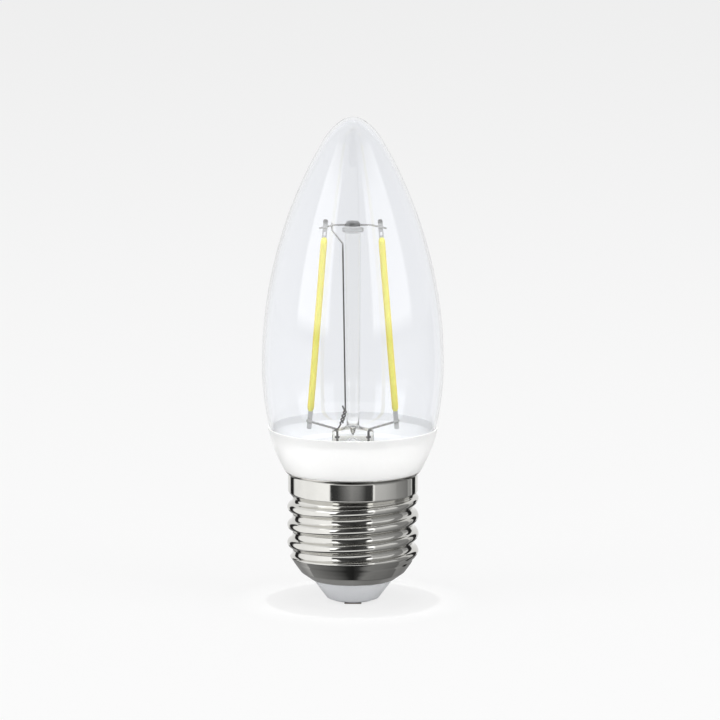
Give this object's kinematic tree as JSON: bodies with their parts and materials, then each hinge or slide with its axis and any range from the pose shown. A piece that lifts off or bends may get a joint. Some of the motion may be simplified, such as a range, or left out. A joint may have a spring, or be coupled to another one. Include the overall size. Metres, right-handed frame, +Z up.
{
  "type": "candle bulb",
  "caption": "Clear glass candle bulb with LED filaments on a glass stem, a white plastic collar and a screw cap that holds the driver.",
  "frame": {"origin": "middle of the centre contact's flat face, the lowest point of the lamp", "axes": "+Z up the lamp's axis to the tip of the glass, +X across both filaments, the picture looks along +Y"},
  "size_m": [0.0364, 0.0364, 0.0979],
  "materials": {
    "clear_glass": "clear, polished",
    "stem_glass": "clear, flame polished",
    "nickel_wire": "drawn, bright",
    "jumper_metal": "drawn, darkened",
    "phosphor_silicone": "satin",
    "strip_ceramic": "matt",
    "chip_crystal": "glossy",
    "tab_steel": "satin",
    "white_plastic": "semi gloss, moulded",
    "cement": "matt",
    "nickel_plate": "polished nickel plate",
    "insulator_plastic": "matt, moulded",
    "contact_metal": "tinned, satin",
    "board": "matt laminate",
    "package_black": "matt, moulded",
    "capacitor_sleeve": "glossy sleeve",
    "resistor_body": "lacquered"
  },
  "bodies": {
    "root": {"glass_bulb": "clear_glass", "glass_stem": "stem_glass", "exhaust_tube": "stem_glass", "top_wire": "nickel_wire", "lead_wire_left": "nickel_wire", "lead_wire_right": "nickel_wire", "jumper_wire": "jumper_metal", "jumper_tail": "jumper_metal", "filament_coat_left": "phosphor_silicone", "filament_coat_right": "phosphor_silicone", "filament_strip_left": "strip_ceramic", "filament_strip_right": "strip_ceramic", "led_chips_left": "chip_crystal", "led_chips_right": "chip_crystal", "tab_upper_left": "tab_steel", "tab_upper_right": "tab_steel", "tab_lower_left": "tab_steel", "tab_lower_right": "tab_steel", "collar": "white_plastic", "neck_cement": "cement", "screw_shell": "nickel_plate", "insulator": "insulator_plastic", "centre_contact": "contact_metal", "driver_board": "board", "bridge_rectifier": "package_black", "driver_chip": "package_black", "smoothing_capacitor": "capacitor_sleeve", "fuse_resistor": "resistor_body", "neutral_wire": "nickel_wire"}
  },
  "joints": []
}
